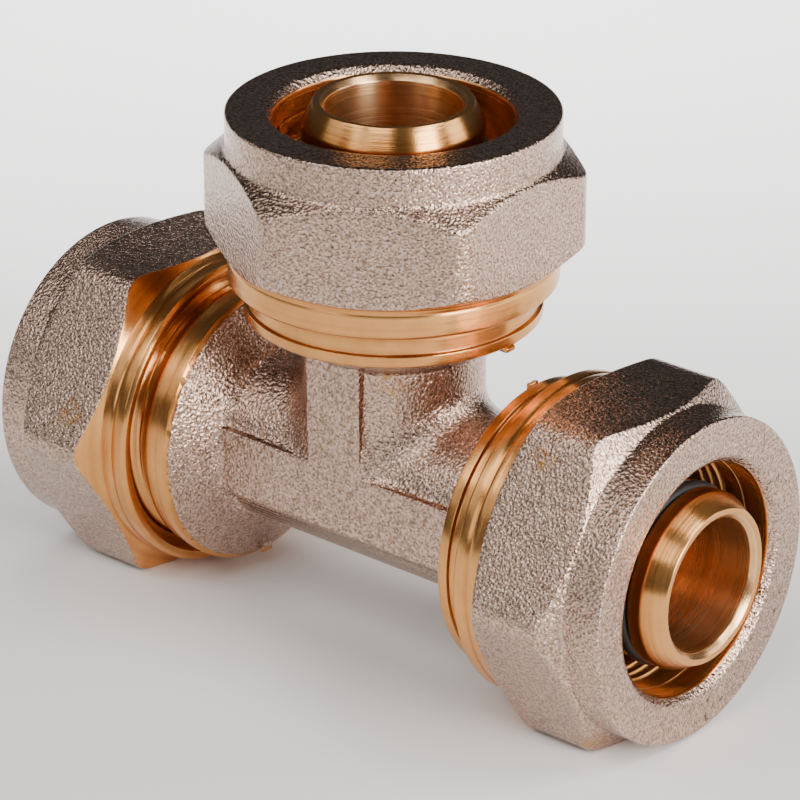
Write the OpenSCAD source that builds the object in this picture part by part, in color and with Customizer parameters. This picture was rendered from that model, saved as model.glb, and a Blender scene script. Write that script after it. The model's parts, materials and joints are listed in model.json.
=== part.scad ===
// Compression tee for 20 mm multilayer pipe: a forged body with three spigots,
// and on each arm a screwed nut, a split ring, an insulating washer and two O-rings.
// The run lies along X and the branch points up. The tee stands on a flat of each run nut,
// and the origin is on that surface, right below the point where the axes cross.
// Screw threads are plain cylinders at their pitch line, so nut and body keep a running gap.

/* [Pipe] */
// Outside diameter of the pipe
pipe_od = 20; // [16:0.5:26]
// Wall thickness of the pipe
pipe_wall = 2; // [1.5:0.1:2.5]

/* [Body] */
// Wall of the necks around the waterway
neck_wall = 2.15; // [1.5:0.05:4]
// Radius of the blend where the branch leaves the run
blend_r = 4.5; // [2:0.1:6]
// Height of the T-shaped marking pads above the round of the neck
pad_proud = 0.2; // [0.1:0.05:0.4]
// Width of the bars of the T-shaped marking pads
pad_w = 6; // [4:0.1:8]
// Straight neck between the blend and the foot of each flange
neck_straight = 0.8; // [0:0.1:10]
// Length of the forged cone behind each flange
cone_l = 2.2; // [1:0.1:5]
// Length of the flange rim
rim_l = 1.1; // [0.6:0.1:4]
// How far the rim stands out from the thread
rim_step = 1; // [0.6:0.05:3]
// Length of the turned shoulder in front of the rim
shoulder_l = 1.6; // [0.8:0.1:4]
// How far the shoulder stands out from the thread
shoulder_step = 0.7; // [0.4:0.05:1.1]
// Length of the groove that ends the thread
undercut_l = 0.8; // [0.4:0.1:2]
// Length of the male thread
thread_l = 5.6; // [4:0.1:9]
// Wall of the threaded sleeve around the pipe's end
sleeve_wall = 1.7; // [1.6:0.1:4]
// Depth of the recess that takes the pipe's end
recess_l = 3.6; // [2.5:0.1:5]

/* [Spigot] */
// How far each spigot stands out from the end of the thread
spigot_l = 10.2; // [8:0.1:16]
// Gap between the spigot and the inside of the pipe
spigot_gap = 0.14; // [0.05:0.01:0.4]
// Wall of the spigot around the waterway
spigot_wall = 1.96; // [1.7:0.02:3]
// Length of the long bevel on the spigot's tip
bevel_l = 1.9; // [0.5:0.1:2.5]
// Radius that the bevel takes off the tip
bevel_drop = 1; // [0.3:0.05:1.2]
// Chamfer inside the tip
tip_chamfer = 0.5; // [0.2:0.05:0.9]

/* [Seals] */
// Thickness of an O-ring's section
o_ring_w = 1.4; // [1:0.05:1.8]
// How far an O-ring stands out from the spigot
o_ring_proud = 0.24; // [0.1:0.01:0.25]
// From the spigot's tip to the middle of the outer O-ring
o_ring_back = 4.05; // [3.5:0.05:5]
// Distance between the two O-rings
o_ring_pitch = 3.2; // [2.5:0.1:4]
// Thickness of the insulating washer
washer_t = 1; // [0.5:0.1:1.5]

/* [Split ring] */
// Wall of the split ring
ring_wall = 1.3; // [1:0.05:1.6]
// Length of the split ring
ring_l = 5.8; // [5:0.1:8]
// Width of the slit
slit_w = 1.2; // [0.5:0.1:3]
// How far the split ring enters the body when a nut is fully home
ring_entry = 0.41; // [0:0.01:0.45]
// Distance between the biting grooves inside the ring
groove_pitch = 1; // [0.8:0.05:1.4]
// Depth of the biting grooves
groove_depth = 0.35; // [0.1:0.05:0.6]

/* [Nut] */
// Wall of the nut between its thread and the middle of a flat
nut_wall = 2.62; // [2.3:0.02:5]
// Radius of the hexagon's upright corners
corner_r = 2.4; // [0.5:0.1:4]
// Length of the round collar in front of the hexagon
collar_l = 3.4; // [2:0.1:5]
// How far the collar lies inside the flats
collar_step = 0.3; // [0.1:0.05:1]
// Length of the turned skirt behind the hexagon
skirt_l = 2.7; // [1:0.1:4]
// How far the skirt lies inside the flats
skirt_step = 0.35; // [0.1:0.05:0.8]
// Slope of the forged chamfer in front of the hexagon
front_slope = 36; // [15:1:45]
// Slope of the turned chamfer behind the hexagon
back_slope = 30; // [15:1:45]
// Length of the plain opening at the nut's face
opening_l = 2.6; // [1.5:0.1:4]

/* [Thread and turns] */
// Pitch of the thread
pitch = 1.5; // [1:0.25:2]
// Turns by which the right nut is backed off from its stop
right_turns_off = 0.5; // [0.2:0.05:2]
// Turns by which the left nut is backed off from its stop
left_turns_off = 1.2; // [0.2:0.05:2]
// Turns by which the branch nut is backed off from its stop
branch_turns_off = 0.8; // [0.2:0.05:2]

/* [Fits] */
// Radial running gap between the two threads
thread_gap = 0.08; // [0.05:0.01:0.3]
// Radial gap between the pipe and the split ring
ring_gap = 0.2; // [0.1:0.05:0.5]
// Radial gap between the split ring and its seat in the nut
seat_gap = 0.15; // [0.1:0.05:0.5]
// Radial gap between the pipe and the recess in the body
recess_gap = 0.3; // [0.1:0.05:0.6]
// Gap left at the stop when a nut is fully home
home_gap = 0.1; // [0.05:0.05:0.3]
// Small gap around seals and between resting faces
lay_gap = 0.03; // [0.01:0.01:0.1]

/* [Hidden] */
ARMS = ["right", "left", "branch"];
$fn = 96;
over = 1;

nickel = "#b5a69d";
brass = "#c99a5b";
rubber = "#26272b";

// Radii, built outwards from the pipe
pipe_r = pipe_od / 2;
spigot_r = pipe_r - pipe_wall - spigot_gap;
waterway_r = spigot_r - spigot_wall;
neck_r = waterway_r + neck_wall;
pad_reach = neck_r + pad_proud;
o_ring_r = spigot_r + o_ring_proud - o_ring_w / 2;
o_groove_r = o_ring_r - o_ring_w / 2 - lay_gap;
o_groove_w = o_ring_w * 1.3;
root_r = spigot_r + 0.25;
ring_bore_r = pipe_r + ring_gap;
ring_r = ring_bore_r + ring_wall;
recess_r = pipe_r + recess_gap;
thread_r = recess_r + sleeve_wall;
undercut_r = thread_r - 0.5;
mouth_r = thread_r - 0.6;
rim_r = thread_r + rim_step;
shoulder_r = thread_r + shoulder_step;
seat_r = ring_r + seat_gap;
nut_thread_r = thread_r + thread_gap;
nut_relief_r = nut_thread_r + 0.45;
flat_r = nut_thread_r + nut_wall;
collar_r = flat_r - collar_step;
skirt_r = flat_r - skirt_step;
nut_mouth_r = shoulder_r + 0.8;

// Places along an arm, from the crossing of the axes
bend_r = neck_r + blend_r;
neck_foot = 0.6;
neck_l = bend_r + neck_straight;
cone_z = neck_l + cone_l;
rim_z = cone_z + rim_l;
shoulder_z = rim_z + shoulder_l;
thread_z = shoulder_z + undercut_l;
sleeve_z = thread_z + thread_l;
recess_z = sleeve_z - recess_l;
tip_z = sleeve_z + spigot_l;
outer_o_ring_z = tip_z - o_ring_back;
inner_o_ring_z = outer_o_ring_z - o_ring_pitch;

// A nut is home when the chamfer in its mouth meets the body's shoulder
home_z = shoulder_z - (nut_mouth_r - shoulder_r) + home_gap;
home_l = sleeve_z - home_z;

// Places in a nut, from its mouth: it holds the body's sleeve, then the split ring
mouth_chamfer = nut_mouth_r - nut_thread_r;
relief_end = home_l + 0.6;
relief_at = relief_end - 1;
ring_lip = 0.15;
ring_rest = ring_lip + 2 * lay_gap;
opening_at = home_l - ring_entry + ring_l + ring_rest;
cone_at = opening_at - (seat_r - ring_bore_r);
nut_l = opening_at + opening_l;
collar_edge = 0.3;
face_edge = 0.6;
function turns_off(arm) = arm == "right" ? right_turns_off : arm == "left" ? left_turns_off : branch_turns_off;
function mouth_z(arm) = home_z + pitch * turns_off(arm);
function ring_z(arm) = mouth_z(arm) + opening_at - ring_rest - ring_l;

// Lifts what is built about the crossing of the axes to its height above the surface
module at_crossing() {
    translate([0, 0, flat_r]) children();
}

// Turns what is built along +Z onto one of the three arms
module on_arm(arm) {
    tilt = arm == "right" ? 90 : arm == "left" ? -90 : 0;
    rotate([0, tilt, 0]) children();
}

// Quarter bend of the neck's own section, tangent to the run and the branch
module crotch() {
    translate([bend_r, 0, bend_r])
        rotate([90, 0, 0])
            rotate([0, 0, 180])
                rotate_extrude(angle = 90)
                    translate([bend_r, 0])
                        circle(r = neck_r);
}

// T-shaped bars right through the forging, whose two faces are the raised marking pads
module marking_pads() {
    reach = neck_l + neck_foot / 2;
    translate([-reach, -pad_reach, -pad_w / 2])
        cube([2 * reach, 2 * pad_reach, pad_w]);
    translate([-pad_w / 2, -pad_reach, 0])
        cube([pad_w, 2 * pad_reach, reach]);
}

// Neck, flange and threaded sleeve of one arm as one turned outline
module arm_outline() {
    rotate_extrude()
        polygon([
            [0, 0],
            [neck_r, 0],
            [neck_r, neck_l - neck_foot],
            [neck_r + neck_foot, neck_l],
            [rim_r - 0.5, cone_z - 0.15],
            [rim_r, cone_z + 0.25],
            [rim_r, rim_z],
            [shoulder_r, rim_z + 0.12],
            [shoulder_r, shoulder_z],
            [undercut_r, shoulder_z + 0.1],
            [undercut_r, thread_z],
            [thread_r, thread_z + 0.3],
            [thread_r, sleeve_z - 0.5],
            [mouth_r + 0.1, sleeve_z],
            [0, sleeve_z]]);
}

// Recess around the spigot for the pipe's end, with a conical mouth for the split ring
module pipe_recess() {
    mouth_l = mouth_r - recess_r;
    rotate_extrude()
        polygon([
            [spigot_r, recess_z],
            [recess_r, recess_z],
            [recess_r, sleeve_z - mouth_l],
            [mouth_r, sleeve_z],
            [mouth_r, sleeve_z + over],
            [spigot_r, sleeve_z + over]]);
}

// Spigot with a thicker root for the washer, two grooves for O-rings and a bevelled tip
module spigot() {
    rotate_extrude()
        polygon([
            [0, recess_z - over],
            [root_r, recess_z - over],
            [root_r, recess_z + washer_t + 0.1],
            [spigot_r, recess_z + washer_t + 0.1],
            [spigot_r, inner_o_ring_z - o_groove_w / 2],
            [o_groove_r, inner_o_ring_z - o_groove_w / 2],
            [o_groove_r, inner_o_ring_z + o_groove_w / 2],
            [spigot_r, inner_o_ring_z + o_groove_w / 2],
            [spigot_r, outer_o_ring_z - o_groove_w / 2],
            [o_groove_r, outer_o_ring_z - o_groove_w / 2],
            [o_groove_r, outer_o_ring_z + o_groove_w / 2],
            [spigot_r, outer_o_ring_z + o_groove_w / 2],
            [spigot_r, tip_z - bevel_l],
            [spigot_r - bevel_drop, tip_z],
            [0, tip_z]]);
}

// Waterway of one arm, chamfered where it leaves the tip
module waterway() {
    rotate_extrude()
        polygon([
            [0, 0],
            [waterway_r, 0],
            [waterway_r, tip_z - tip_chamfer],
            [waterway_r + tip_chamfer + over, tip_z + over],
            [0, tip_z + over]]);
}

// Stub of trimmed flash where the dies met, at the foot of one flange
module flash_nib() {
    nib_w = 1.2;
    nib_l = 0.7;
    translate([rim_r - 1.5, -nib_w / 2, cone_z - 0.4])
        cube([1.55, nib_w, nib_l]);
}

// Forged tee body with its machined ends
module tee_body() {
    color(nickel)
        at_crossing() difference() {
            union() {
                difference() {
                    union() {
                        crotch();
                        mirror([1, 0, 0]) crotch();
                        marking_pads();
                        for (arm = ARMS) on_arm(arm) arm_outline();
                    }
                    for (arm = ARMS) on_arm(arm) pipe_recess();
                }
                for (arm = ARMS) on_arm(arm) spigot();
                on_arm("branch") flash_nib();
                on_arm("right") rotate([0, 0, 180]) flash_nib();
                on_arm("left") rotate([0, 0, 180]) flash_nib();
            }
            for (arm = ARMS) on_arm(arm) waterway();
        }
}

// Hexagon with corners rounded in six small steps, two corners on the arm's Y axis
module rounded_hexagon() {
    middle = (flat_r - corner_r) / cos(30);
    rotate(30)
        polygon([for (k = [0 : 5], turn = [-30 : 10 : 30])
            middle * [cos(60 * k), sin(60 * k)] + corner_r * [cos(60 * k + turn), sin(60 * k + turn)]]);
}

// Double cone that chamfers the hexagon at both ends
module hex_envelope() {
    outside = flat_r * 1.25;
    back = skirt_l;
    front = nut_l - collar_l;
    rotate_extrude()
        polygon([
            [0, back],
            [skirt_r, back],
            [outside, back + (outside - skirt_r) * tan(back_slope)],
            [outside, front - (outside - collar_r) * tan(front_slope)],
            [collar_r, front],
            [0, front]]);
}

// Round parts of the nut: the turned skirt, a core and the collar
module nut_round_outline() {
    rotate_extrude()
        polygon([
            [0, 0],
            [skirt_r - 0.3, 0],
            [skirt_r, 0.3],
            [skirt_r, skirt_l + 0.5],
            [collar_r, skirt_l + 0.5],
            [collar_r, nut_l - collar_edge],
            [collar_r - collar_edge, nut_l],
            [0, nut_l]]);
}

// Inside of the nut: mouth, thread, relief, ring seat, cone and opening
module nut_bore() {
    rotate_extrude()
        polygon([
            [0, -over],
            [nut_mouth_r + over, -over],
            [nut_thread_r, mouth_chamfer],
            [nut_thread_r, relief_at],
            [nut_relief_r, relief_at + 0.2],
            [nut_relief_r, relief_end],
            [seat_r, relief_end],
            [seat_r, cone_at],
            [ring_bore_r, opening_at],
            [ring_bore_r, nut_l - face_edge],
            [ring_bore_r + face_edge + over, nut_l + over],
            [0, nut_l + over]]);
}

// Hexagonal compression nut
module nut() {
    color(nickel)
        difference() {
            union() {
                intersection() {
                    linear_extrude(nut_l) rounded_hexagon();
                    hex_envelope();
                }
                nut_round_outline();
            }
            nut_bore();
        }
}

// Split ring with a cone at each end, biting grooves inside and a slit
module split_ring() {
    front_cone = ring_wall - ring_lip;
    back_cone = 0.8;
    first_groove = ring_l - 2 * groove_pitch;
    color(brass)
        difference() {
            rotate_extrude()
                polygon([
                    [ring_bore_r, 0],
                    [ring_r - back_cone, 0],
                    [ring_r, back_cone],
                    [ring_r, ring_l - front_cone],
                    [ring_r - front_cone, ring_l],
                    [ring_bore_r, ring_l]]);
            for (k = [0 : 2])
                translate([0, 0, first_groove - k * groove_pitch])
                    rotate_extrude()
                        polygon([
                            [ring_bore_r - over, -0.25],
                            [ring_bore_r, -0.25],
                            [ring_bore_r + groove_depth, -0.1],
                            [ring_bore_r + groove_depth, 0.1],
                            [ring_bore_r, 0.25],
                            [ring_bore_r - over, 0.25]]);
            translate([0, -slit_w / 2, -over])
                cube([ring_r + over, slit_w, ring_l + 2 * over]);
        }
}

// Flat washer that keeps the pipe's metal layer off the brass
module insulating_washer() {
    color(rubber)
        translate([0, 0, recess_z + lay_gap])
            rotate_extrude()
                translate([root_r + lay_gap, 0])
                    square([recess_r - root_r - 2 * lay_gap, washer_t]);
}

// O-ring in its groove
module o_ring(middle_z) {
    color(rubber)
        translate([0, 0, middle_z])
            rotate_extrude()
                translate([o_ring_r, 0])
                    circle(d = o_ring_w, $fn = 32);
}

// The loose pieces, each put on its arm
module arm_nut(arm) {
    at_crossing() on_arm(arm) translate([0, 0, mouth_z(arm)]) nut();
}

module arm_ring(arm) {
    slit_turn = 200;
    at_crossing() on_arm(arm) translate([0, 0, ring_z(arm)]) rotate(slit_turn) split_ring();
}

module arm_washer(arm) {
    at_crossing() on_arm(arm) insulating_washer();
}

module outer_o_ring(arm) {
    at_crossing() on_arm(arm) o_ring(outer_o_ring_z);
}

module inner_o_ring(arm) {
    at_crossing() on_arm(arm) o_ring(inner_o_ring_z);
}

tee_body();
arm_nut("right");  // right_nut
arm_ring("right");  // right_split_ring
arm_washer("right");  // right_insulating_washer
outer_o_ring("right");  // right_outer_o_ring
inner_o_ring("right");  // right_inner_o_ring
arm_nut("left");  // left_nut
arm_ring("left");  // left_split_ring
arm_washer("left");  // left_insulating_washer
outer_o_ring("left");  // left_outer_o_ring
inner_o_ring("left");  // left_inner_o_ring
arm_nut("branch");  // branch_nut
arm_ring("branch");  // branch_split_ring
arm_washer("branch");  // branch_insulating_washer
outer_o_ring("branch");  // branch_outer_o_ring
inner_o_ring("branch");  // branch_inner_o_ring
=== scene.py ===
# %% [markdown]
# # A compression tee in nickel-plated brass
# This fitting joins three multilayer water pipes. A forged brass body carries three spigots,
# and a hexagonal nut on each arm squeezes a split ring onto the pipe. Most of it is plated
# with nickel and looks like frosted, slightly warm silver. Where a lathe cut after plating,
# the bare golden brass shows. The lesson models the pieces with Blender's own operators,
# then gives each surface the finish that its making left on it.

# %% Load the measured parts
import json
import math

import bmesh
import bpy
import numpy as np
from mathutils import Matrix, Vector

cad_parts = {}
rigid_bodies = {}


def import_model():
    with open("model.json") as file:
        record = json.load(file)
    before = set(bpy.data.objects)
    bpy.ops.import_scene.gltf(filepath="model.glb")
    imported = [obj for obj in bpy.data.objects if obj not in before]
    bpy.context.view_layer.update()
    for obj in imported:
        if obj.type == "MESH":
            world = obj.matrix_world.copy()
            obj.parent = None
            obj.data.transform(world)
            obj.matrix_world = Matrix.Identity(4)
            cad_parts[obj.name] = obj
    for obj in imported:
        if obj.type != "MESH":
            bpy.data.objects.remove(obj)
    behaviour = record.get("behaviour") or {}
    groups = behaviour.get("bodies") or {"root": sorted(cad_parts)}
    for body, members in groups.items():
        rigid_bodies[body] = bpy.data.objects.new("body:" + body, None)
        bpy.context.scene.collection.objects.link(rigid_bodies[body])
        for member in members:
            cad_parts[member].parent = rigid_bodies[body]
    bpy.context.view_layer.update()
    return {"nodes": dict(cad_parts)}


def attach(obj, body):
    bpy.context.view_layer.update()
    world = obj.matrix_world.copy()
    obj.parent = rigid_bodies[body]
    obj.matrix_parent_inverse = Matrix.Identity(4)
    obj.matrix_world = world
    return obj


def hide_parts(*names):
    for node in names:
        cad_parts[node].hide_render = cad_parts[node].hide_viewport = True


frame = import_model()

# %% [markdown]
# ## Sizes
# All sizes are in millimetres and come from the same drawing as the measured parts. Each arm
# is described along its own axis: 0 where the three axes cross, growing outwards. The run
# lies 14.7 mm above the table, because the tee stands on one flat of each run nut.

# %% Sizes of the fitting
MM = 0.001
AXIS_HEIGHT = 14.7
THREAD_PITCH = 1.5
FLAT_R, CORNER_ROUND = 14.7, 2.5
COLLAR_R, SKIRT_R, NUT_MOUTH_R = 14.4, 14.35, 13.5
NUT_LENGTH, COLLAR_LENGTH, SKIRT_LENGTH = 15.3, 3.4, 2.7
SPIGOT_R, BORE_R, RING_BORE_R, RING_R = 7.86, 5.9, 10.2, 11.5
RING_LENGTH, RING_START, BITE_R, SLIT_WIDTH = 5.8, 6.69, 10.55, 1.2
RECESS_R, RECESS_FLOOR, ROOT_R, ROOT_END = 10.3, 21.05, 8.11, 22.15
RIM_R, SHOULDER_R, SLEEVE_R = 13.0, 12.7, 11.5
THREAD_START, SLEEVE_END, TIP = 19.0, 24.65, 34.85
MALE_THREAD_R, MALE_DEPTH, MALE_FLOOR = 11.95, 0.38, 11.45
FEMALE_THREAD_R, FEMALE_DEPTH, RELIEF_R = 12.14, 0.36, 12.5
O_RING_R, O_RING_WIRE, O_GROOVE_R, O_GROOVE_HALF = 7.4, 0.7, 6.67, 0.91
O_RING_PLACES = {"outer": TIP - 4.05, "inner": TIP - 7.25}
WASHER_BORE_R, WASHER_R, WASHER_THICK, WASHER_START = 8.15, 10.26, 1.0, 21.08
NUT_MOUTHS = {"right": 18.3, "left": 19.35, "branch": 18.75}
SKIRT_LINES = {"right": 1.5, "left": 1.5, "branch": 2.3}
SKIRT_LINE_DEPTH = 0.07
ARM_TURN = {"right": math.radians(90), "left": math.radians(-90), "branch": 0.0}
OUTWARD = {"right": Vector((1, 0, 0)), "left": Vector((-1, 0, 0)), "branch": Vector((0, 0, 1))}
CENTRE = Vector((0, 0, AXIS_HEIGHT)) * MM
print("arms:", ", ".join(NUT_MOUTHS))

# %% [markdown]
# ## Lathe work
# Nuts, rings, washers and the machined ends of the body are all round about an axis, so each
# is drawn as an outline and spun round, as on a lathe. An outline is a list of corners. Each
# corner says where it is, how round it is, and how many rows the stretch after it gets. No
# real edge is perfectly sharp, and the small rounds are what catches the light.

# %% Outlines with rounded corners
def rounded(corners, closed=True):
    """From corners (radius, place, round, rows after it, finish): a fine outline and its finishes."""
    count = len(corners)
    spots = [Vector(corner[:2]) for corner in corners]
    ends = []
    for k, corner in enumerate(corners):
        before, here, after = spots[k - 1], spots[k], spots[(k + 1) % count]
        if not closed and k in (0, count - 1):
            ends.append((here, here))
            continue
        back, on = before - here, after - here
        reach = min(corner[2], 0.45 * back.length, 0.45 * on.length)
        ends.append((here + back.normalized() * reach, here + on.normalized() * reach))
    outline, finishes = [], []
    for k, corner in enumerate(corners):
        start, end = ends[k]
        steps = 5 if corner[2] > 0.2 else 3
        if start != end:
            for j in range(steps):
                t = j / steps
                outline.append(start * (1 - t) ** 2 + spots[k] * 2 * t * (1 - t) + end * t * t)
                finishes.append(corner[4])
        if k == count - 1 and not closed:
            outline.append(end)
            break
        target = ends[(k + 1) % count][0]
        for j in range(corner[3]):
            outline.append(end.lerp(target, j / corner[3]))
            finishes.append(corner[4])
    return [tuple(point) for point in outline], finishes


# %% Spinning an outline round an axis
def start_clean():
    if bpy.context.object and bpy.context.object.mode != "OBJECT":
        bpy.ops.object.mode_set(mode="OBJECT")
    bpy.ops.object.select_all(action="DESELECT")


def turned(name, outline, finishes, steps=240, closed=True, sweep=360.0, first=0.0):
    """Spins an outline about the Z axis. Each vertex remembers its row, and each face its finish."""
    start_clean()
    bpy.ops.mesh.primitive_circle_add(vertices=len(outline), radius=MM, fill_type="NOTHING",
                                      location=(0, 0, 0))
    piece = bpy.context.object
    piece.name = piece.data.name = name
    turn = math.radians(first)
    row = piece.data.attributes.new("row", "INT", "POINT")
    for k, (r, z) in enumerate(outline):
        piece.data.vertices[k].co = (r * MM * math.cos(turn), r * MM * math.sin(turn), z * MM)
        row.data[k].value = k
    bpy.ops.object.mode_set(mode="EDIT")
    if not closed:
        edges = bmesh.from_edit_mesh(piece.data).edges
        bpy.ops.mesh.select_all(action="DESELECT")
        layer = bmesh.from_edit_mesh(piece.data).verts.layers.int["row"]
        for edge in edges:
            edge.select_set({v[layer] for v in edge.verts} == {0, len(outline) - 1})
        bpy.ops.mesh.delete(type="EDGE")
    bpy.ops.mesh.select_all(action="SELECT")
    bpy.ops.mesh.spin(steps=steps, angle=math.radians(sweep), center=(0, 0, 0), axis=(0, 0, 1))
    bpy.ops.mesh.select_all(action="SELECT")
    bpy.ops.mesh.remove_doubles(threshold=1e-7)
    if sweep < 360:
        bpy.ops.mesh.select_all(action="DESELECT")
        bpy.ops.mesh.select_non_manifold()
        bpy.ops.mesh.edge_face_add()
        bpy.ops.mesh.select_all(action="SELECT")
    bpy.ops.mesh.normals_make_consistent(inside=False)
    bpy.ops.object.mode_set(mode="OBJECT")
    bpy.ops.object.shade_smooth_by_angle(angle=math.radians(35))
    row = piece.data.attributes["row"].data
    last = len(outline) - 1
    for face in piece.data.polygons:
        rows = {row[v].value for v in face.vertices}
        low = last if rows == {0, last} else min(rows)
        face.material_index = finishes[low] if len(rows) == 2 else finishes[0]
    print(name, "spun from", len(outline), "rows to", len(piece.data.polygons), "faces")
    return piece


# %% [markdown]
# ## Reading the lathe's grooves
# A lathe leaves fine circles round its axis. A pattern can only follow them if it knows, at
# each spot, how far along the axis and how far out the spot lies, so both are stored in a UV
# map, ten millimetres to one unit. The arms then share one brass, whichever way they point.

# %% Storing where the lathe's tool was
FORGED, TURNED, DRILLED = 0, 1, 2


def store_turning(piece, away=0.0):
    """Stores the place along the axis and the radius, for a piece that still stands on the Z axis."""
    uv = piece.data.uv_layers.new(name="turning")
    for loop in piece.data.loops:
        x, y, z = piece.data.vertices[loop.vertex_index].co
        uv.data[loop.index].uv = (z * 100 + away * 0.1, math.hypot(x, y) * 100)


def put_on_arm(piece, arm, along):
    """Moves a piece out along its arm, turns it to that arm, and fixes its place in its mesh."""
    axis = piece.data.attributes.new("arm_axis", "FLOAT_VECTOR", "POINT")
    for item in axis.data:
        item.vector = OUTWARD[arm]
    start_clean()
    piece.select_set(True)
    bpy.context.view_layer.objects.active = piece
    piece.rotation_euler = (0, ARM_TURN[arm], 0)
    piece.location = CENTRE + OUTWARD[arm] * along * MM
    bpy.ops.object.transform_apply(location=True, rotation=True, scale=True)


def copy_of(piece, name):
    """A copy with a mesh of its own."""
    twin = piece.copy()
    twin.data = piece.data.copy()
    twin.name = twin.data.name = name
    bpy.context.scene.collection.objects.link(twin)
    return twin


# %% [markdown]
# ## The screw thread
# The thread is a right-handed groove that climbs 1.5 mm for each turn. It is a wave in the
# radius: the wave moves on as the angle grows. Body and nut use the same wave, the nut's a
# little further out, so they stay in mesh however far a nut is screwed.

# %% Height of the thread at one spot
def thread_wave(along, angle):
    phase = (along / THREAD_PITCH - angle / (2 * math.pi)) % 1.0
    return max(-1.0, min(1.0, 1.5 * (4 * abs(phase - 0.5) - 1)))


def male_thread(along, angle):
    """Cut between the groove at the shoulder and the chamfer at the sleeve's end."""
    cut = MALE_THREAD_R + MALE_DEPTH * thread_wave(along, angle)
    return min(cut, MALE_FLOOR + 1.4 * (along - THREAD_START), MALE_FLOOR + (SLEEVE_END - along))


def female_thread(along, angle, mouth):
    """Cut between the chamfer in the nut's mouth and the relief before the ring's seat."""
    cut = FEMALE_THREAD_R + FEMALE_DEPTH * thread_wave(along, angle)
    return max(cut, NUT_MOUTH_R - (along - mouth))


# %% [markdown]
# ## The nut
# The nut is forged as a hexagon with a round collar, plated, and then cut from behind: the
# lathe takes a crisp 30 degree chamfer and a skirt down to bare brass, while the front keeps
# its soft forged cone. The outline is spun as a round first. Then each spoke of the mesh is
# drawn again for its own angle, because the hexagon is nearer on its flats than at its
# corners. That way the chamfers make the curved arches that a real nut has. Each skirt has
# one fine line, where the tool was set down again.

# %% The hexagon's distance from the axis
def hexagon_reach(angle):
    turn = (angle - math.radians(30)) % math.radians(60)
    off_corner = min(turn, math.radians(60) - turn)
    middle = (FLAT_R - CORNER_ROUND) / math.cos(math.radians(30))
    meet = math.atan2(CORNER_ROUND / 2, middle + CORNER_ROUND * math.cos(math.radians(30)))
    if off_corner < meet:
        inside = CORNER_ROUND ** 2 - (middle * math.sin(off_corner)) ** 2
        return middle * math.cos(off_corner) + math.sqrt(inside)
    return FLAT_R / math.cos(math.radians(30) - off_corner)


def nut_corners(reach):
    """The nut's section where the hexagon is this far from the axis, from mouth to thread."""
    back = SKIRT_LENGTH + (reach - SKIRT_R) * math.tan(math.radians(30))
    front = NUT_LENGTH - COLLAR_LENGTH
    cone = front - (reach - COLLAR_R) * math.tan(math.radians(36))
    return [
        (NUT_MOUTH_R, 0.0, 0.04, 2, TURNED), (14.05, 0.0, 0.06, 1, TURNED),
        (SKIRT_R, 0.3, 0.06, 2, TURNED),
        (SKIRT_R, 1.42, 0.0, 1, TURNED), (SKIRT_R, 1.5, 0.0, 1, TURNED), (SKIRT_R, 1.58, 0.0, 2, TURNED),
        (SKIRT_R, 2.22, 0.0, 1, TURNED), (SKIRT_R, 2.3, 0.0, 1, TURNED), (SKIRT_R, 2.38, 0.0, 1, TURNED),
        (SKIRT_R, SKIRT_LENGTH, 0.06, 3, TURNED), (reach, back, 0.08, 10, FORGED),
        (reach, cone, 0.18, 4, FORGED), (COLLAR_R, front, 0.3, 5, FORGED),
        (COLLAR_R, NUT_LENGTH, 0.3, 8, FORGED), (10.95, NUT_LENGTH, 0.3, 2, FORGED),
        (10.3, 14.6, 0.12, 4, TURNED), (RING_BORE_R, 12.7, 0.06, 3, TURNED),
        (11.65, 11.25, 0.06, 6, TURNED), (11.65, 7.72, 0.05, 1, TURNED),
        (RELIEF_R, 7.72, 0.05, 2, TURNED), (RELIEF_R, 6.72, 0.05, 34, TURNED),
        (12.1, 1.42, 0.05, 3, TURNED),
    ]


# %% Spin the nut, then draw each spoke for its angle
def shape_nut(nut, arm, mouth):
    row = nut.data.attributes["row"].data
    sections = {}
    for vertex in nut.data.vertices:
        angle = math.atan2(vertex.co.y, vertex.co.x)
        key = round(angle, 4)
        if key not in sections:
            sections[key] = rounded(nut_corners(hexagon_reach(angle)))[0]
        r, z = sections[key][row[vertex.index].value]
        if 1.0 < z < 6.66 and 11.9 < r < 12.9:
            r = female_thread(z + mouth, angle, mouth)
        if r > 14 and abs(z - SKIRT_LINES[arm]) < 0.01:
            r -= SKIRT_LINE_DEPTH
        vertex.co = (r * MM * math.cos(angle), r * MM * math.sin(angle), z * MM)


nut_outline, nut_finishes = rounded(nut_corners(15.0))
plain_nut = turned("nut_pattern", nut_outline, nut_finishes)
nuts = {}
for arm, mouth in NUT_MOUTHS.items():
    nut = copy_of(plain_nut, arm + "_nut_forged")
    shape_nut(nut, arm, mouth)
    store_turning(nut, away=7.0 * len(nuts))
    put_on_arm(nut, arm, mouth)
    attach(nut, arm + "_nut")
    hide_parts(arm + "_nut")
    nuts[arm] = nut
bpy.data.objects.remove(plain_nut)
print("nuts:", [len(nut.data.polygons) for nut in nuts.values()])

# %% [markdown]
# ## The split ring
# The brass ring inside each nut is turned with a cone at both ends and three biting grooves,
# then sawn through, so that it can close on the pipe. Spinning it not quite all the way round
# leaves the saw's gap, and a face closes each cut end.

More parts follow.
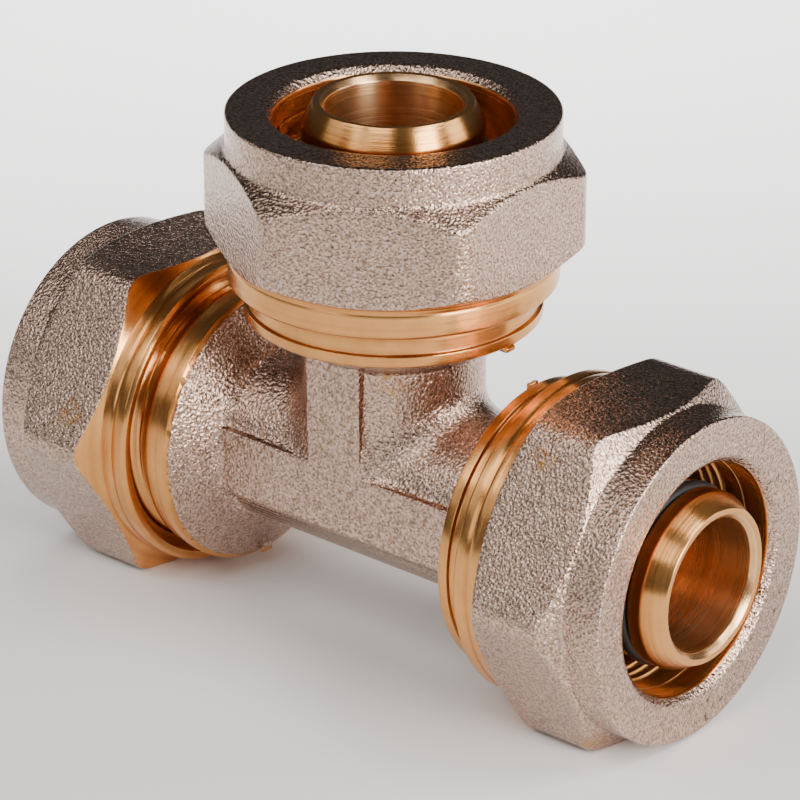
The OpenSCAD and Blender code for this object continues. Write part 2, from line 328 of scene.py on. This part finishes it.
# %% Turn the ring and leave the saw's gap
RING_CORNERS = [
    (RING_BORE_R, 0.0, 0.04, 1, TURNED), (10.7, 0.0, 0.05, 2, TURNED), (RING_R, 0.8, 0.06, 4, TURNED),
    (RING_R, 4.65, 0.08, 3, TURNED), (10.35, RING_LENGTH, 0.06, 1, TURNED),
    (RING_BORE_R, RING_LENGTH, 0.05, 2, TURNED),
]
for groove in (3.8, 2.8, 1.8):
    RING_CORNERS += [
        (RING_BORE_R, groove + 0.25, 0.03, 1, TURNED), (BITE_R, groove + 0.1, 0.03, 1, TURNED),
        (BITE_R, groove - 0.1, 0.03, 1, TURNED), (RING_BORE_R, groove - 0.25, 0.03, 1, TURNED),
    ]
SLIT = math.degrees(SLIT_WIDTH / 10.85)
ring_outline, ring_finishes = rounded(RING_CORNERS)
plain_ring = turned("ring_pattern", ring_outline, ring_finishes, steps=180, sweep=360 - SLIT,
                    first=200 + SLIT / 2)
store_turning(plain_ring, away=31.0)
rings = {}
for arm, mouth in NUT_MOUTHS.items():
    ring = copy_of(plain_ring, arm + "_split_ring_turned")
    put_on_arm(ring, arm, mouth + RING_START)
    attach(ring, arm + "_ring")
    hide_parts(arm + "_split_ring")
    rings[arm] = ring
bpy.data.objects.remove(plain_ring)
print("split rings:", len(rings))

# %% [markdown]
# ## Seals
# Two rubber O-rings sit in grooves round each spigot. A moulded O-ring has a faint seam where
# the halves of its mould met, and it is squeezed a little flat where it grips the groove. A
# black washer at the bottom of the recess keeps the pipe's aluminium off the brass.

# %% O-rings with a mould seam
start_clean()
bpy.ops.mesh.primitive_torus_add(major_segments=144, minor_segments=24, major_radius=O_RING_R * MM,
                                 minor_radius=O_RING_WIRE * MM)
plain_seal = bpy.context.object
for vertex in plain_seal.data.vertices:
    x, y, z = vertex.co
    out = math.hypot(x, y) / MM - O_RING_R
    if out > 0.6 and abs(z) < 0.05 * MM:
        out += 0.004
    if out < -0.62:
        out = -0.62 + 0.4 * (out + 0.62)
    scale = (O_RING_R + out) * MM / math.hypot(x, y)
    vertex.co = (x * scale, y * scale, z)
bpy.ops.object.shade_smooth()
seals = []
for arm in NUT_MOUTHS:
    for which, place in O_RING_PLACES.items():
        seal = copy_of(plain_seal, arm + "_" + which + "_o_ring_moulded")
        put_on_arm(seal, arm, place)
        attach(seal, "tee")
        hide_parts(arm + "_" + which + "_o_ring")
        seals.append(seal)
bpy.data.objects.remove(plain_seal)
print("O-rings:", len(seals))

# %% Insulating washers
washer_outline, washer_finishes = rounded([
    (WASHER_BORE_R, 0.0, 0.08, 2, FORGED), (WASHER_R, 0.0, 0.08, 1, FORGED),
    (WASHER_R, WASHER_THICK, 0.12, 2, FORGED), (WASHER_BORE_R, WASHER_THICK, 0.12, 1, FORGED)])
plain_washer = turned("washer_pattern", washer_outline, washer_finishes, steps=120)
washers = []
for arm in NUT_MOUTHS:
    washer = copy_of(plain_washer, arm + "_washer_moulded")
    put_on_arm(washer, arm, WASHER_START)
    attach(washer, "tee")
    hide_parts(arm + "_insulating_washer")
    washers.append(washer)
bpy.data.objects.remove(plain_washer)
print("washers:", len(washers))

# %% [markdown]
# ## The forged middle of the body
# A forging has no sharp inside corners: the hot brass had to flow round every one. The
# measured body has the right sizes but crisp joints, so a copy of it is cut off behind each
# flange, skinned again in small voxels and smoothed a little. That rounds all its joints at
# once, which no single bevel can do where three pipes and two pads run together. The real
# crotches are tighter than the measured body's bends, so the new skin is first moved in to a
# rule: two crossing pipes with a small fillet between them, and a flat T-shaped pad on the
# front and on the back that keeps its full height.

# %% The necks, their crotches and the raised pads as one rule
CUT = 15.5
NECK_R, NECK_END, CROTCH_R = 8.05, 12.0, 2.3
PAD_FACE, PAD_HALF = 8.25, 3.0
PROBE, TOLERANCE = 0.01, 0.005


def outside(spots):
    """How far spots, in millimetres from the crossing, stand outside the forging's middle."""
    x, y, z = spots.T
    run = np.hypot(y, z) - NECK_R
    branch = np.sqrt(x ** 2 + y ** 2 + np.minimum(z, 0) ** 2) - NECK_R
    corner = np.hypot(np.maximum(CROTCH_R - run, 0), np.maximum(CROTCH_R - branch, 0))
    necks = np.maximum(CROTCH_R, np.minimum(run, branch)) - corner
    thick = np.abs(y) - PAD_FACE
    pad = np.maximum(np.abs(x) - PAD_HALF, np.maximum(thick, -z))
    return np.minimum(necks, np.minimum(pad, np.maximum(np.abs(z) - PAD_HALF, thick)))


def tighten(piece):
    """Moves the skin of the crotches in to where the rule says."""
    flat = np.empty(len(piece.data.vertices) * 3)
    piece.data.vertices.foreach_get("co", flat)
    spots = (flat.reshape(-1, 3) - np.array(CENTRE)) / MM
    before = spots.copy()
    in_reach = np.maximum(np.abs(spots[:, 0]), spots[:, 2]) < NECK_END
    for _ in range(5):
        over = outside(spots)
        rise = [outside(spots + PROBE * side) - outside(spots - PROBE * side) for side in np.eye(3)]
        slope = np.stack(rise, 1) / (2 * PROBE)
        slope /= np.maximum(np.linalg.norm(slope, axis=1), 0.5)[:, None]
        spots -= np.where(in_reach & (over > TOLERANCE), over, 0.0)[:, None] * slope
    print("skin moved in by up to", round(float(np.linalg.norm(spots - before, axis=1).max()), 2), "mm")
    piece.data.vertices.foreach_set("co", (spots * MM + np.array(CENTRE)).ravel())
    piece.data.update()


# %% Cut off the forging and soften it
VOXEL, KEPT_SHARE = 0.16, 0.16


def cut_ends(piece, along, fill):
    start_clean()
    piece.select_set(True)
    bpy.context.view_layer.objects.active = piece
    bpy.ops.object.mode_set(mode="EDIT")
    for outward in OUTWARD.values():
        bpy.ops.mesh.select_all(action="SELECT")
        bpy.ops.mesh.bisect(plane_co=CENTRE + outward * along * MM, plane_no=outward, use_fill=fill,
                            clear_outer=True, threshold=1e-7)
    bpy.ops.object.mode_set(mode="OBJECT")


body = copy_of(frame["nodes"]["tee_body"], "tee_body_forged")
body.parent = None
body.data.materials.clear()
start_clean()
body.select_set(True)
bpy.context.view_layer.objects.active = body
bpy.ops.object.mode_set(mode="EDIT")
bpy.ops.mesh.select_all(action="SELECT")
bpy.ops.mesh.remove_doubles(threshold=1e-6)
bpy.ops.object.mode_set(mode="OBJECT")
cut_ends(body, CUT + 0.9, True)
body.data.remesh_voxel_size = VOXEL * MM
bpy.ops.object.voxel_remesh()
tighten(body)
soften = body.modifiers.new("soften", "SMOOTH")
soften.factor, soften.iterations = 0.5, 4
bpy.ops.object.modifier_apply(modifier=soften.name)
thin = body.modifiers.new("thin", "DECIMATE")
thin.ratio = KEPT_SHARE
bpy.ops.object.modifier_apply(modifier=thin.name)
cut_ends(body, CUT, False)
print("forging:", len(body.data.polygons), "faces")

# %% [markdown]
# ## The machined ends
# Each end of the body is cut on a lathe in one clamping: the flange's rim and shoulder, the
# thread, the deep recess that takes the pipe's end, and the spigot with its grooves. The end
# is spun as an open outline, whose first and last rows meet the two holes that the cut left
# in the forging.

# %% Turn one end and screw-cut it
END_CORNERS = [
    (12.62, CUT, 0.0, 1, TURNED), (RIM_R, 15.78, 0.05, 3, TURNED), (RIM_R, 16.65, 0.05, 1, TURNED),
    (SHOULDER_R, 16.77, 0.04, 3, TURNED), (SHOULDER_R, 18.25, 0.08, 2, TURNED),
    (SLEEVE_R, 18.37, 0.08, 2, TURNED), (SLEEVE_R, 19.03, 0.05, 36, TURNED),
    (SLEEVE_R, SLEEVE_END, 0.05, 1, TURNED), (11.4, SLEEVE_END, 0.05, 3, TURNED),
    (RECESS_R, 23.55, 0.08, 4, TURNED), (RECESS_R, RECESS_FLOOR, 0.12, 3, TURNED),
    (ROOT_R, RECESS_FLOOR, 0.1, 2, TURNED), (ROOT_R, ROOT_END, 0.08, 1, TURNED),
    (SPIGOT_R, ROOT_END, 0.04, 3, TURNED),
]
for middle in (O_RING_PLACES["inner"], O_RING_PLACES["outer"]):
    start, end = middle - O_GROOVE_HALF, middle + O_GROOVE_HALF
    END_CORNERS += [
        (SPIGOT_R, start, 0.07, 2, TURNED), (O_GROOVE_R, start, 0.08, 2, TURNED),
        (O_GROOVE_R, end, 0.08, 2, TURNED), (SPIGOT_R, end, 0.07, 3, TURNED),
    ]
END_CORNERS += [
    (SPIGOT_R, TIP - 1.9, 0.2, 3, TURNED), (SPIGOT_R - 1.0, TIP, 0.08, 1, TURNED),
    (6.4, TIP, 0.08, 2, DRILLED), (BORE_R, TIP - 0.5, 0.1, 5, DRILLED), (BORE_R, CUT, 0.0, 1, DRILLED),
]
end_outline, end_finishes = rounded(END_CORNERS, closed=False)
plain_end = turned("end_pattern", end_outline, end_finishes, steps=132, closed=False)
for vertex in plain_end.data.vertices:
    x, y, z = vertex.co / MM
    r, angle = math.hypot(x, y), math.atan2(y, x)
    if 11.3 < r < 11.8 and 18.95 < z < SLEEVE_END - 0.02:
        cut = max(male_thread(z, angle), MALE_FLOOR)
        vertex.co = (cut * MM * math.cos(angle), cut * MM * math.sin(angle), z * MM)
print("machined end:", len(plain_end.data.polygons), "faces")

# %% [markdown]
# ## One casting
# The three ends are joined to the forging and the rims are bridged, so the body is one closed
# skin, as the real one is one piece of brass. Two loops are bridged at a time: the outer
# pair under the flange's rim and the inner pair in the waterway.

# %% Join the ends and bridge the rims
ends = []
for arm in NUT_MOUTHS:
    end = copy_of(plain_end, arm + "_end")
    put_on_arm(end, arm, 0.0)
    ends.append(end)
bpy.data.objects.remove(plain_end)
start_clean()
for end in ends:
    end.select_set(True)
body.select_set(True)
bpy.context.view_layer.objects.active = body
bpy.ops.object.join()
bpy.ops.object.mode_set(mode="EDIT")
for arm, outward in OUTWARD.items():
    for inner in (True, False):
        bpy.ops.mesh.select_all(action="DESELECT")
        mesh = bmesh.from_edit_mesh(body.data)
        picked = 0
        for edge in mesh.edges:
            if not edge.is_boundary:
                continue
            middle = ((edge.verts[0].co + edge.verts[1].co) / 2 - CENTRE) / MM
            along = middle.dot(outward)
            away = (middle - outward * along).length
            if abs(along - CUT) < 0.02 and (away < 9) == inner:
                edge.select_set(True)
                picked += 1
        bmesh.update_edit_mesh(body.data)
        bpy.ops.mesh.bridge_edge_loops()
        print(arm, "inner" if inner else "outer", "rim bridged from", picked, "edges")
bpy.ops.mesh.select_all(action="SELECT")
bpy.ops.mesh.remove_doubles(threshold=2e-6)
bpy.ops.mesh.normals_make_consistent(inside=False)
bpy.ops.object.mode_set(mode="OBJECT")
bpy.ops.object.shade_smooth_by_angle(angle=math.radians(38))

# %% Give each face of the body its finish
def nearest_arm(spot):
    """The arm that a spot of the body belongs to, its place along it and its distance from its axis."""
    from_centre = (spot - CENTRE) / MM
    arm = max(OUTWARD, key=lambda name: from_centre.dot(OUTWARD[name]))
    along = from_centre.dot(OUTWARD[arm])
    return arm, along, (from_centre - OUTWARD[arm] * along).length


axis_of = body.data.attributes["arm_axis"].data
for vertex in body.data.vertices:
    axis_of[vertex.index].vector = OUTWARD[nearest_arm(vertex.co)[0]]
uv = body.data.uv_layers.get("turning") or body.data.uv_layers.new(name="turning")
for face in body.data.polygons:
    arm, along, away = nearest_arm(face.center)
    if away < BORE_R + 0.35:
        face.material_index = DRILLED
    else:
        face.material_index = TURNED if along > CUT or away > 12.7 else FORGED
    for loop in face.loop_indices:
        spot = (body.data.vertices[body.data.loops[loop].vertex_index].co - CENTRE) / MM
        place = spot.dot(OUTWARD[arm])
        uv.data[loop].uv = (place * 0.1 + 2.0, (spot - OUTWARD[arm] * place).length * 0.1)
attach(body, "tee")
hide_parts("tee_body")
check = bmesh.new()
check.from_mesh(body.data)
triangles = sum(len(face.vertices) - 2 for face in body.data.polygons)
print("body:", triangles, "triangles, open edges:", sum(edge.is_boundary for edge in check.edges))
check.free()

# %% [markdown]
# ## Colours and nodes
# Colours are written as the hex values that a colour picker shows, and one function turns
# them into the linear values that Blender's shaders need. One more small function adds a node
# with its settings and its wires, so that a material reads from top to bottom.

# %% Helpers for materials
def colour(code):
    channels = [int(code[k:k + 2], 16) / 255 for k in (1, 3, 5)]
    return [c / 12.92 if c <= 0.04045 else ((c + 0.055) / 1.055) ** 2.4 for c in channels] + [1.0]


def add(material, kind, values=None, wires=None, **settings):
    node = material.node_tree.nodes.new(kind)
    for name, value in settings.items():
        setattr(node, name, value)
    for socket, value in (values or {}).items():
        node.inputs[socket].default_value = value
    for socket, source in (wires or {}).items():
        material.node_tree.links.new(source, node.inputs[socket])
    return node


def new_material(name):
    material = bpy.data.materials.new(name)
    material.use_nodes = True
    material.node_tree.nodes.clear()
    return material


def finish_with(material, values, wires):
    shader = add(material, "ShaderNodeBsdfPrincipled", values, wires)
    add(material, "ShaderNodeOutputMaterial", wires={"Surface": shader.outputs["BSDF"]})


def ramp(material, source, stops):
    """Turns a grey value into colours at given places."""
    node = add(material, "ShaderNodeValToRGB", wires={"Fac": source})
    while len(node.color_ramp.elements) < len(stops):
        node.color_ramp.elements.new(0.5)
    for element, (place, shade) in zip(node.color_ramp.elements, stops):
        element.position, element.color = place, shade
    return node.outputs["Color"]


print("linear mid grey:", round(colour("#808080")[0], 3))

# %% [markdown]
# ## Shot-blasted nickel
# After forging, the brass is blasted with steel shot, which beats small overlapping dimples
# into it, and is then plated with bright nickel. The plating follows every dimple, so the
# surface is a mass of tiny mirrors: it sparkles instead of shining. The nickel layer is thin
# and warm grey. Where it is thinnest the brass stains it, in a few golden brown spots and pits.

# %% Nickel plating over a shot-blasted forging
DIMPLE, GRIT, WAVE, SPECK = 0.3 * MM, 0.22 * MM, 2.6 * MM, 0.8 * MM
BODY_DEPTH, NUT_DEPTH, WAVE_DEPTH = 0.062, 0.07, 0.08
BODY_STAINS = {"gold": [((5.0, -6.3, 27.0), 1.8)], "pits": [((-14.0, -9.8, 14.4), 2.5)]}
NUT_STAINS = {
    "gold": [((24.5, -9.9, 26.9), 1.6), ((29.0, -8.8, 1.3), 2.2), ((-25.0, -15.1, 17.9), 2.0)],
    "pits": [((33.55, 3.3, 3.0), 7.0), ((34.0, 9.0, 9.0), 6.0), ((23.7, -14.5, 10.4), 1.8),
             ((33.55, 11.0, 20.1), 3.5)],
}


def stain_mask(metal, place, spots, grain):
    """White near the given spots (millimetres, with a radius), broken up by a grain."""
    mask = None
    for spot, radius in spots:
        away = add(metal, "ShaderNodeVectorMath", {1: Vector(spot) * MM}, {0: place},
                   operation="DISTANCE")
        near = add(metal, "ShaderNodeMapRange", {"From Min": radius * MM, "From Max": 0.3 * radius * MM},
                   {"Value": away.outputs["Value"]})
        wires = {0: near.outputs["Result"]} if mask is None else {0: near.outputs["Result"], 1: mask}
        mask = add(metal, "ShaderNodeMath", {1: 0.0} if mask is None else None, wires,
                   operation="MAXIMUM").outputs[0]
    return add(metal, "ShaderNodeMath", None, {0: mask, 1: grain}, operation="MULTIPLY").outputs[0]


def shot_blasted_nickel(name, depth, stains):
    metal = new_material(name)
    place = add(metal, "ShaderNodeTexCoord").outputs["Object"]
    dimples = add(metal, "ShaderNodeTexVoronoi", {"Scale": 1 / DIMPLE, "Smoothness": 0.3},
                  {"Vector": place}, feature="SMOOTH_F1")
    grit = add(metal, "ShaderNodeTexNoise", {"Scale": 1 / GRIT, "Detail": 2.0, "Roughness": 0.6},
               {"Vector": place})
    waves = add(metal, "ShaderNodeTexNoise", {"Scale": 1 / WAVE, "Detail": 3.0, "Roughness": 0.5},
                {"Vector": place})
    plate = ramp(metal, grit.outputs["Fac"], [
        (0.36, colour("#8a7260")), (0.5, colour("#bf9f8b")), (0.64, colour("#dbbeae"))])
    specks = add(metal, "ShaderNodeTexNoise", {"Scale": 1 / SPECK, "Detail": 3.0, "Roughness": 0.65},
                 {"Vector": place})
    pits = add(metal, "ShaderNodeMapRange", {"From Min": 0.60, "From Max": 0.66},
               {"Value": specks.outputs["Fac"]})
    blotch = add(metal, "ShaderNodeMapRange", {"From Min": 0.42, "From Max": 0.62},
                 {"Value": specks.outputs["Fac"]})
    gold = stain_mask(metal, place, stains["gold"], blotch.outputs["Result"])
    brown = stain_mask(metal, place, stains["pits"], pits.outputs["Result"])
    tint = add(metal, "ShaderNodeMix", {"B": colour("#b98a52")}, {"Factor": gold, "A": plate},
               data_type="RGBA")
    tint = add(metal, "ShaderNodeMix", {"B": colour("#5d4331")},
               {"Factor": brown, "A": tint.outputs["Result"]}, data_type="RGBA")
    rough = add(metal, "ShaderNodeMapRange", {"To Min": 0.1, "To Max": 0.24},
                {"Value": grit.outputs["Fac"]})
    low = add(metal, "ShaderNodeBump", {"Strength": 1.0, "Distance": depth * MM},
              {"Height": dimples.outputs["Distance"]})
    high = add(metal, "ShaderNodeBump", {"Strength": 1.0, "Distance": 1.2 * depth * MM},
               {"Height": grit.outputs["Fac"], "Normal": low.outputs["Normal"]})
    wide = add(metal, "ShaderNodeBump", {"Strength": 1.0, "Distance": WAVE_DEPTH * MM},
               {"Height": waves.outputs["Fac"], "Normal": high.outputs["Normal"]})
    finish_with(metal, {"Metallic": 1.0},
                {"Base Color": tint.outputs["Result"], "Roughness": rough.outputs["Result"],
                 "Normal": wide.outputs["Normal"]})
    return metal


nickel_body = shot_blasted_nickel("nickel_plated_forged_body", BODY_DEPTH, BODY_STAINS)
nickel_nut = shot_blasted_nickel("nickel_plated_forged_nut", NUT_DEPTH, NUT_STAINS)
print("plated:", nickel_body.name, nickel_nut.name)

# %% [markdown]
# ## Turned brass
# Where the lathe cut, free-cutting brass shows: yellow, bright, and scored with fine circles.
# The circles come from the stored place along the axis and the radius. Most of them are too
# fine to see one by one, but together they spread each reflection across the grooves. That is
# what the anisotropic setting does, and its direction is worked out from the arm's own axis.

# %% Brass with the lathe's circles
UV_UNIT = 10  # millimetres to one unit of the stored map


def turned_brass(name, light, dark, gloss, groove):
    metal = new_material(name)
    path = add(metal, "ShaderNodeUVMap", uv_map="turning").outputs["UV"]
    place = add(metal, "ShaderNodeTexCoord").outputs["Object"]
    axis = add(metal, "ShaderNodeAttribute", attribute_name="arm_axis").outputs["Vector"]
    from_centre = add(metal, "ShaderNodeVectorMath", {1: CENTRE}, {0: place},
                      operation="SUBTRACT").outputs["Vector"]
    circle = add(metal, "ShaderNodeVectorMath", None, {0: axis, 1: from_centre},
                 operation="CROSS_PRODUCT").outputs["Vector"]
    face = add(metal, "ShaderNodeNewGeometry").outputs["Normal"]
    across = add(metal, "ShaderNodeVectorMath", None, {0: face, 1: circle},
                 operation="CROSS_PRODUCT").outputs["Vector"]
    marks = add(metal, "ShaderNodeTexNoise", {"Scale": UV_UNIT / 0.3, "Detail": 3.0, "Roughness": 0.7},
                {"Vector": path})
    bands = add(metal, "ShaderNodeTexNoise", {"Scale": UV_UNIT / 0.9, "Detail": 1.0, "Roughness": 0.5},
                {"Vector": path})
    cloud = add(metal, "ShaderNodeTexNoise", {"Scale": 1 / (2.5 * MM), "Detail": 4.0, "Roughness": 0.65},
                {"Vector": place})
    tone = add(metal, "ShaderNodeMath", {1: 0.6}, {0: bands.outputs["Fac"]}, operation="MULTIPLY")
    tone = add(metal, "ShaderNodeMath", {1: 0.4}, {0: cloud.outputs["Fac"], 2: tone.outputs[0]},
               operation="MULTIPLY_ADD")
    tint = ramp(metal, tone.outputs[0], [(0.3, colour(dark)), (0.55, colour(light))])
    rough = add(metal, "ShaderNodeMapRange", {"To Min": gloss, "To Max": gloss + 0.14},
                {"Value": marks.outputs["Fac"]})
    bump = add(metal, "ShaderNodeBump", {"Strength": 1.0, "Distance": groove * MM},
               {"Height": marks.outputs["Fac"]})
    finish_with(metal, {"Metallic": 1.0, "Anisotropic": 0.7},
                {"Base Color": tint, "Roughness": rough.outputs["Result"],
                 "Normal": bump.outputs["Normal"], "Tangent": across})
    return metal


brass = turned_brass("turned_brass", "#e2a362", "#c98547", 0.18, 0.02)
bore_brass = turned_brass("drilled_brass", "#edbc8a", "#cc9963", 0.2, 0.03)
ring_brass = turned_brass("split_ring_brass", "#e8b06c", "#bd8644", 0.18, 0.02)
print("brass:", brass.name, bore_brass.name, ring_brass.name)

# %% [markdown]
# ## Rubber and plastic
# The O-rings are moulded nitrile rubber: near black, with the soft sheen of a film of grease.
# The washers are moulded black plastic, matt and slightly grainy.

# %% Black rubber and black plastic
def black_moulding(name, shade, gloss, grain):
    moulded = new_material(name)
    place = add(moulded, "ShaderNodeTexCoord").outputs["Object"]
    grains = add(moulded, "ShaderNodeTexNoise", {"Scale": 1 / (grain * MM), "Detail": 3.0},
                 {"Vector": place})
    tint = ramp(moulded, grains.outputs["Fac"], [(0.3, colour(shade)), (0.75, colour("#242426"))])
    rough = add(moulded, "ShaderNodeMapRange", {"To Min": gloss - 0.1, "To Max": gloss + 0.1},
                {"Value": grains.outputs["Fac"]})
    bump = add(moulded, "ShaderNodeBump", {"Strength": 0.6, "Distance": 0.02 * MM},
               {"Height": grains.outputs["Fac"]})
    finish_with(moulded, {"IOR": 1.5},
                {"Base Color": tint, "Roughness": rough.outputs["Result"],
                 "Normal": bump.outputs["Normal"]})
    return moulded


rubber = black_moulding("nitrile_rubber", "#101011", 0.5, 0.25)
plastic = black_moulding("black_nylon", "#1d1d20", 0.5, 0.2)
print("mouldings:", rubber.name, plastic.name)

# %% Put the finishes on the pieces
def dress(piece, *materials):
    for material in materials:
        piece.data.materials.append(material)


dress(body, nickel_body, brass, bore_brass)
for nut in nuts.values():
    dress(nut, nickel_nut, brass, bore_brass)
for ring in rings.values():
    dress(ring, ring_brass, ring_brass, ring_brass)
for seal in seals:
    dress(seal, rubber)
for washer in washers:
    dress(washer, plastic)
print("dressed:", 1 + len(nuts) + len(rings) + len(seals) + len(washers), "pieces")

# %% [markdown]
# ## Studio
# The photograph was taken in a bright white studio with large soft lights. Metal shows what
# surrounds it more than its own colour, so the lights are wide panels, and the darker gaps
# between them draw the forms.

# %% Floor, lights and sky
start_clean()
bpy.ops.mesh.primitive_plane_add(size=4.0, location=(0, 0, 0))
floor = bpy.context.object
floor.name = "studio_floor"
paper = new_material("white_paper")
finish_with(paper, {"Base Color": colour("#faf9f7"), "Roughness": 0.85}, {})
dress(floor, paper)

LAMP_DISTANCE, LAMP_TARGET = 0.7, Vector((0, 0, 0.02))


def light_panel(name, azimuth, height, brightness, side=0.3):
    """A square lamp, by its direction in degrees, aimed at the fitting. Brightness is its radiance."""
    start_clean()
    turn, lift = math.radians(azimuth), math.radians(height)
    outward = Vector((math.cos(turn) * math.cos(lift), math.sin(turn) * math.cos(lift), math.sin(lift)))
    bpy.ops.object.light_add(type="AREA", location=outward * LAMP_DISTANCE + LAMP_TARGET)
    panel = bpy.context.object
    panel.name = name
    panel.data.shape = "SQUARE"
    panel.data.size = side
    panel.data.energy = brightness * math.pi * side * side
    panel.rotation_euler = (-outward).to_track_quat("-Z", "Y").to_euler()
    return panel


light_panel("key_right", -5, 20, 21.0)
light_panel("high_right", 17, 50, 8.0)
light_panel("high_left", -117, 50, 3.8)
light_panel("rim_right", 40, 20, 3.6)
light_panel("high_front", -72, 50, 4.0)
light_panel("front_left", -95, 20, 2.0)
light_panel("far_left", -137, 30, 1.1)


def floor_lamp(name, spot, target, brightness, side=0.25):
    """A lamp turned away from the fitting, which only brightens the paper behind or beside it."""
    panel = light_panel(name, 0, 45, brightness, side)
    panel.location = spot
    panel.rotation_euler = (Vector(target) - Vector(spot)).to_track_quat("-Z", "Y").to_euler()


floor_lamp("paper_behind", (-0.1, 0.12, 0.25), (-0.35, 0.4, 0.0), 14.0)
floor_lamp("paper_right", (0.16, 0.1, 0.2), (0.5, 0.35, 0.05), 8.0)

world = bpy.data.worlds.new("studio_air")
bpy.context.scene.world = world
world.use_nodes = True
world.node_tree.nodes["Background"].inputs["Color"].default_value = colour("#ffffff")
world.node_tree.nodes["Background"].inputs["Strength"].default_value = 0.08

# %% [markdown]
# ## Camera
# The camera was worked out from the photograph: it stands 342 mm away, 40 degrees round to
# the right and 25 degrees up, with a long lens that hardly bends the shapes.

# %% Camera at the photograph's place
bpy.ops.object.camera_add(location=Vector((200.3, -237.4, 165.5)) * MM)
camera = bpy.context.object
camera.name = "photo_camera"
aim = Vector((0.7, 0.0, 21.67)) * MM - camera.location
camera.rotation_euler = aim.to_track_quat("-Z", "Y").to_euler()
camera.data.sensor_width = 36.0
camera.data.lens = 36.0 * 3905 / 800
camera.data.clip_start = 0.01
bpy.context.scene.camera = camera
print("camera distance:", round(aim.length, 3), "m, lens:", round(camera.data.lens, 1), "mm")
